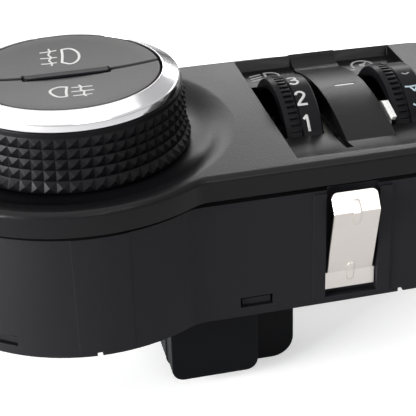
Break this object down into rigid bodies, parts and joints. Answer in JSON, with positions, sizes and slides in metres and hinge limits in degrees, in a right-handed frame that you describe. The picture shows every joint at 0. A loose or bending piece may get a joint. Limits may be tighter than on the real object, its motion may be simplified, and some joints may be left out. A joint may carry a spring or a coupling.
{
  "type": "headlight switch",
  "caption": "Dashboard light switch: a knurled rotary knob with push buttons in its top beside thumbwheels in a long bezel, on a clipped-in housing with a plug socket underneath.",
  "frame": {"origin": "on the rotary knob's axis, in the plane where the bezel's rim rests on the dashboard", "axes": "+Z out of the dashboard along the knob's axis, +X along the panel from the knob to the thumbwheels, +Y across the panel to the side away from the camera"},
  "size_m": [0.1198, 0.0686, 0.0654],
  "materials": {
    "bezel_plastic": "fine-grained satin",
    "housing_plastic": "smooth satin",
    "knob_plastic": "satin",
    "button_plastic": "fine-grained satin with white printed symbols",
    "wheel_plastic": "satin with white printed figures",
    "bright_ring": "satin plated",
    "spring_steel": "bright rolled and pressed sheet",
    "plain_steel": "turned",
    "inner_plastic": "natural moulding",
    "post_plastic": "smooth",
    "light_guide": "clear to milky",
    "circuit_board": "solder-resist coated",
    "dome_rubber": "moulded silicone",
    "contact_metal": "stamped",
    "pin_metal": "tinned",
    "lamp": "clear potting"
  },
  "bodies": {
    "base": {"bezel_panel": "bezel_plastic", "housing_shell": "housing_plastic", "rear_cover": "housing_plastic", "circuit_board": "circuit_board", "board_screws": "plain_steel", "bezel_screws": "plain_steel", "board_lights": "lamp", "spring_clip_front": "spring_steel", "spring_clip_rear": "spring_steel", "center_post": "post_plastic", "divider_bar": "knob_plastic", "button_light_guide": "light_guide", "front_dome": "dome_rubber", "rear_dome": "dome_rubber", "knob_detent_leaf": "plain_steel", "wheel_cradle": "post_plastic", "levelling_potentiometer": "inner_plastic", "dimmer_potentiometer": "inner_plastic", "levelling_detent_leaf": "plain_steel", "dimmer_return_spring": "plain_steel", "pointer_light_guide": "light_guide", "dimmer_light_guide": "light_guide", "connector_shroud": "housing_plastic", "connector_pins": "pin_metal"},
    "knob": {"knob_grip": "knob_plastic", "knob_chrome_ring": "bright_ring", "knob_carrier": "post_plastic", "contact_wiper": "contact_metal"},
    "front_button": {"front_fog_button": "button_plastic", "front_button_rod": "inner_plastic"},
    "rear_button": {"rear_fog_button": "button_plastic", "rear_button_rod": "inner_plastic"},
    "levelling_roller": {"levelling_wheel": "wheel_plastic", "levelling_axle": "plain_steel"},
    "dimmer_roller": {"dimmer_wheel": "wheel_plastic", "dimmer_axle": "plain_steel"}
  },
  "joints": [
    {"name": "knob_turn", "type": "hinge", "parent": "base", "child": "knob", "pos_m": [0, 0, 0], "axis": [0, 0, 1], "range_deg": [-90, 0]},
    {"name": "front_fog_press", "type": "slide", "parent": "base", "child": "front_button", "axis": [0, 0, -1], "range_m": [0, 0.001], "stiffness_N_per_m": 1200, "springref_m": -0.001, "deforming": ["front_dome"]},
    {"name": "rear_fog_press", "type": "slide", "parent": "base", "child": "rear_button", "axis": [0, 0, -1], "range_m": [0, 0.001], "stiffness_N_per_m": 1200, "springref_m": -0.001, "deforming": ["rear_dome"]},
    {"name": "levelling_turn", "type": "hinge", "parent": "base", "child": "levelling_roller", "pos_m": [0.04515, 0.0016, -0.0057], "axis": [1, 0, 0], "range_deg": [-72, 0]},
    {"name": "dimmer_turn", "type": "hinge", "parent": "base", "child": "dimmer_roller", "pos_m": [0.06765, 0.0016, -0.0057], "axis": [1, 0, 0], "range_deg": [-18, 18], "stiffness_Nm_per_rad": 0.03}
  ]
}
